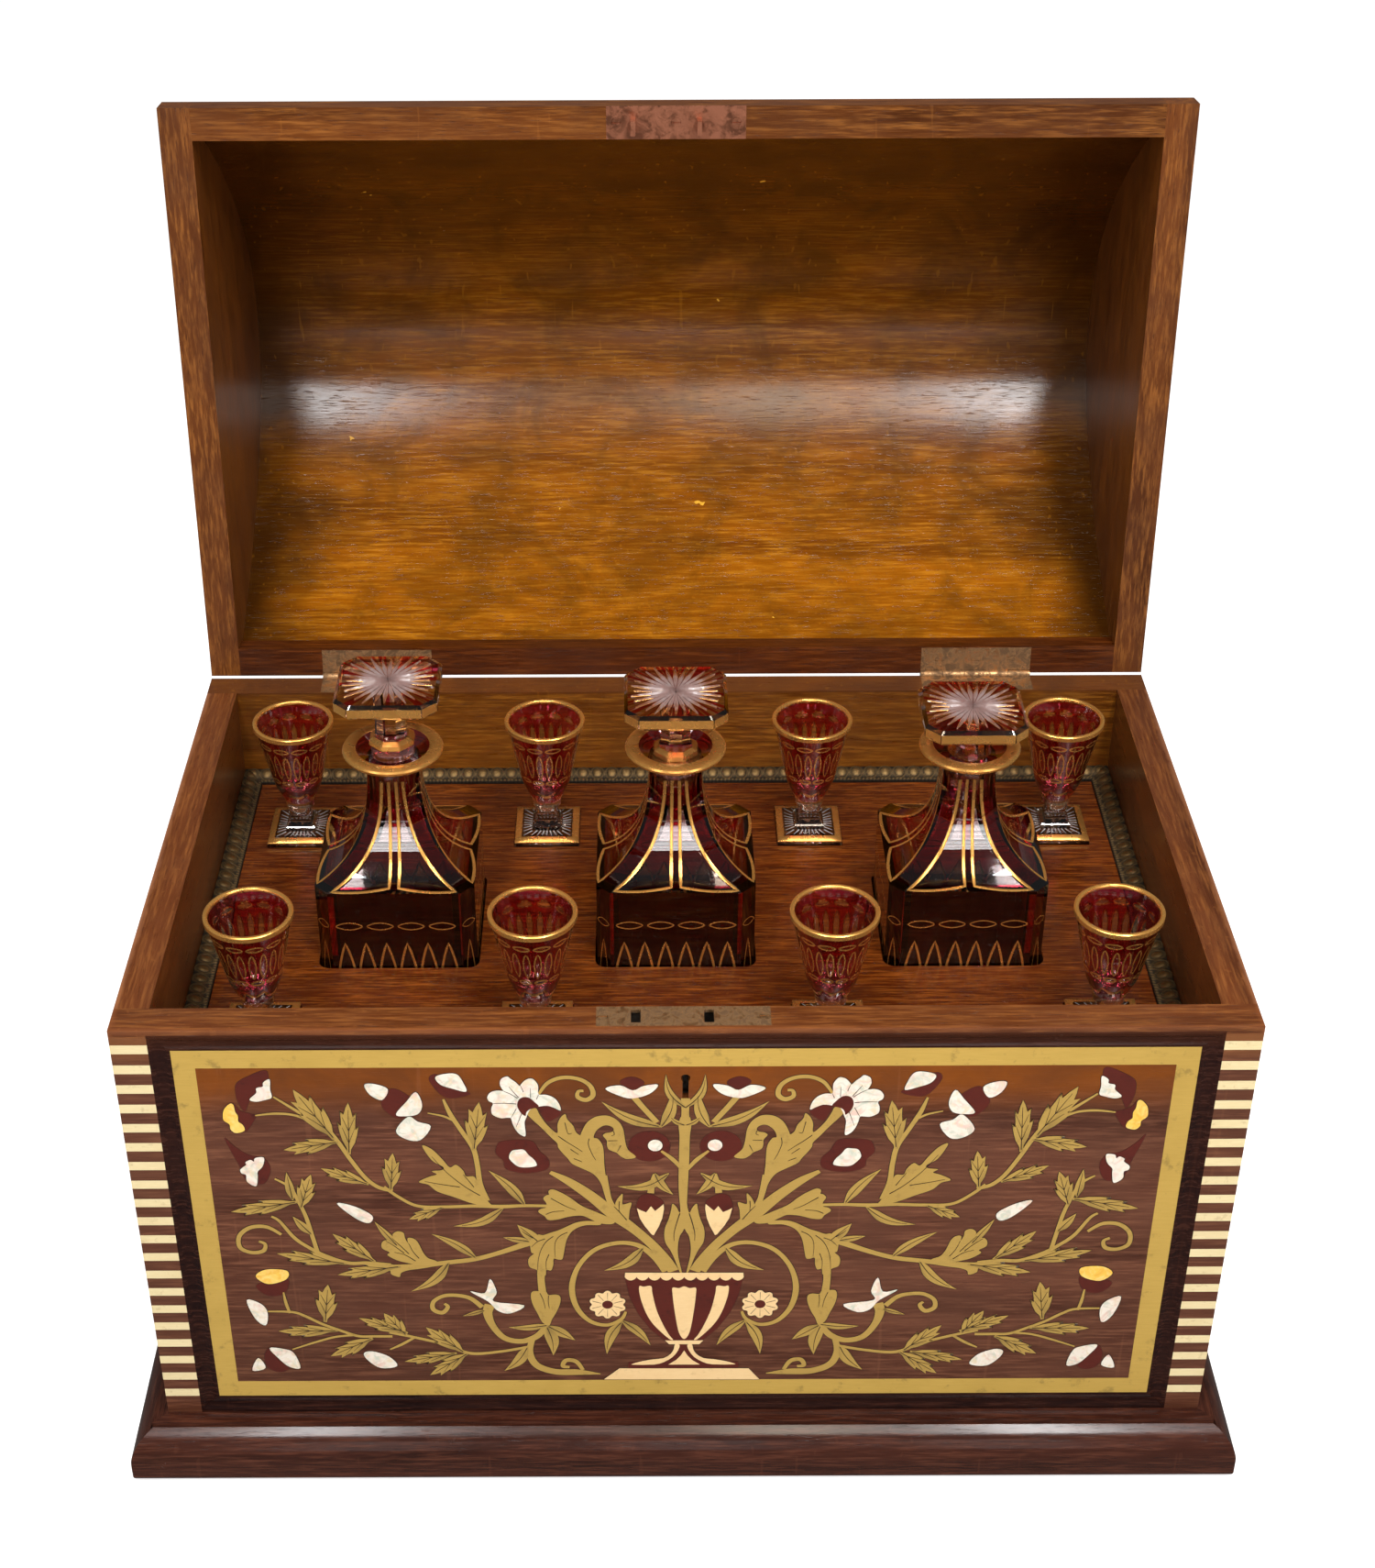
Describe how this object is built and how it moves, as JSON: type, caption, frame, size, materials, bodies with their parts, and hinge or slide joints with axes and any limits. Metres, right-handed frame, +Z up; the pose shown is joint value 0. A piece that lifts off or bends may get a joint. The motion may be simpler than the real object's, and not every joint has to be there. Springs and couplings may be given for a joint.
{
  "type": "liqueur cabinet",
  "caption": "Domed-lid liqueur chest on a moulded base, inlaid front, with a fitted tray of square decanters and small stemmed glasses.",
  "frame": {"origin": "centre of the underside, on the surface that the cabinet stands on, under the middle of the case", "axes": "+Z up, +X to the right as seen from the front, +Y to the back where the lid is hinged"},
  "size_m": [0.556, 0.513, 0.5887],
  "materials": {
    "decanter_glass": "ruby flashed lead crystal, cut and gilded",
    "stopper_glass": "clear cut crystal, ruby flashed plate, gilded",
    "cordial_glass": "ruby flashed cut crystal with a clear gilded foot",
    "base_mahogany": "very dark French polished mahogany",
    "rosewood": "French polished rosewood veneer with inlay",
    "olive_gold": "olive gold inlaid strip",
    "ebonised_wood": "ebonised, polished",
    "bone": "bone slips, aged and polished",
    "band_wood": "polished, brown",
    "bronze_trim": "blackened pressed metal, rubbed bright on the beads",
    "worn_brass": "tarnished, worn",
    "tray_mahogany": "French polished red mahogany",
    "lid_wood": "French polished golden mahogany",
    "case_wood": "French polished mahogany",
    "plain_wood": "plain, lightly stained"
  },
  "bodies": {
    "case": {"base_back": "base_mahogany", "base_front": "base_mahogany", "base_left": "base_mahogany", "base_right": "base_mahogany", "bone_slips": "bone", "case_back": "case_wood", "case_bottom": "plain_wood", "case_front": "case_wood", "case_left": "case_wood", "case_right": "case_wood", "dark_frame": "ebonised_wood", "decanter_shelf": "plain_wood", "front_panel": "rosewood", "gilt_frame": "olive_gold", "hinge_leaf_case_left": "worn_brass", "hinge_leaf_case_right": "worn_brass", "hinge_pin_left": "worn_brass", "hinge_pin_right": "worn_brass", "hinge_screws_case": "worn_brass", "lock_case": "worn_brass", "lock_plate": "worn_brass", "lock_screws": "worn_brass", "shelf_bearers": "plain_wood", "tray_bearers": "plain_wood", "tray_board": "tray_mahogany", "trim_back": "bronze_trim", "trim_front": "bronze_trim", "trim_left": "bronze_trim", "trim_right": "bronze_trim", "wood_slips": "band_wood"},
    "lid": {"hinge_leaf_lid_left": "worn_brass", "hinge_leaf_lid_right": "worn_brass", "hinge_screws_lid": "worn_brass", "lid_back_rail": "lid_wood", "lid_front_rail": "lid_wood", "lid_gable_left": "lid_wood", "lid_gable_right": "lid_wood", "lid_vault": "lid_wood", "strike_plate": "worn_brass", "strike_screws": "worn_brass", "strike_staples": "worn_brass"},
    "lock_bolt": {"lock_bolt": "worn_brass"},
    "decanter_1": {"decanter_1": "decanter_glass"},
    "decanter_2": {"decanter_2": "decanter_glass"},
    "decanter_3": {"decanter_3": "decanter_glass"},
    "stopper_1": {"stopper_1": "stopper_glass"},
    "stopper_2": {"stopper_2": "stopper_glass"},
    "stopper_3": {"stopper_3": "stopper_glass"},
    "glass_1": {"glass_1": "cordial_glass"},
    "glass_2": {"glass_2": "cordial_glass"},
    "glass_3": {"glass_3": "cordial_glass"},
    "glass_4": {"glass_4": "cordial_glass"},
    "glass_5": {"glass_5": "cordial_glass"},
    "glass_6": {"glass_6": "cordial_glass"},
    "glass_7": {"glass_7": "cordial_glass"},
    "glass_8": {"glass_8": "cordial_glass"}
  },
  "joints": [
    {"name": "lid_hinge", "type": "hinge", "parent": "case", "child": "lid", "pos_m": [0, 0.1568, 0.2772], "axis": [-1, 0, 0], "range_deg": [-95.27, 0]},
    {"name": "lock_bolt_slide", "type": "slide", "parent": "case", "child": "lock_bolt", "axis": [1, 0, 0], "range_m": [0, 0.0044]},
    {"name": "decanter_1_lift", "type": "slide", "parent": "case", "child": "decanter_1", "axis": [0, 0, 1], "range_m": [0, 0.14]},
    {"name": "decanter_2_lift", "type": "slide", "parent": "case", "child": "decanter_2", "axis": [0, 0, 1], "range_m": [0, 0.14]},
    {"name": "decanter_3_lift", "type": "slide", "parent": "case", "child": "decanter_3", "axis": [0, 0, 1], "range_m": [0, 0.14]},
    {"name": "stopper_1_lift", "type": "slide", "parent": "decanter_1", "child": "stopper_1", "axis": [0, 0, 1], "range_m": [0, 0.05]},
    {"name": "stopper_2_lift", "type": "slide", "parent": "decanter_2", "child": "stopper_2", "axis": [0, 0, 1], "range_m": [0, 0.05]},
    {"name": "stopper_3_lift", "type": "slide", "parent": "decanter_3", "child": "stopper_3", "axis": [0, 0, 1], "range_m": [0, 0.05]},
    {"name": "glass_1_lift", "type": "slide", "parent": "case", "child": "glass_1", "axis": [0, 0, 1], "range_m": [0, 0.075]},
    {"name": "glass_2_lift", "type": "slide", "parent": "case", "child": "glass_2", "axis": [0, 0, 1], "range_m": [0, 0.075]},
    {"name": "glass_3_lift", "type": "slide", "parent": "case", "child": "glass_3", "axis": [0, 0, 1], "range_m": [0, 0.075]},
    {"name": "glass_4_lift", "type": "slide", "parent": "case", "child": "glass_4", "axis": [0, 0, 1], "range_m": [0, 0.075]},
    {"name": "glass_5_lift", "type": "slide", "parent": "case", "child": "glass_5", "axis": [0, 0, 1], "range_m": [0, 0.075]},
    {"name": "glass_6_lift", "type": "slide", "parent": "case", "child": "glass_6", "axis": [0, 0, 1], "range_m": [0, 0.075]},
    {"name": "glass_7_lift", "type": "slide", "parent": "case", "child": "glass_7", "axis": [0, 0, 1], "range_m": [0, 0.075]},
    {"name": "glass_8_lift", "type": "slide", "parent": "case", "child": "glass_8", "axis": [0, 0, 1], "range_m": [0, 0.075]}
  ]
}
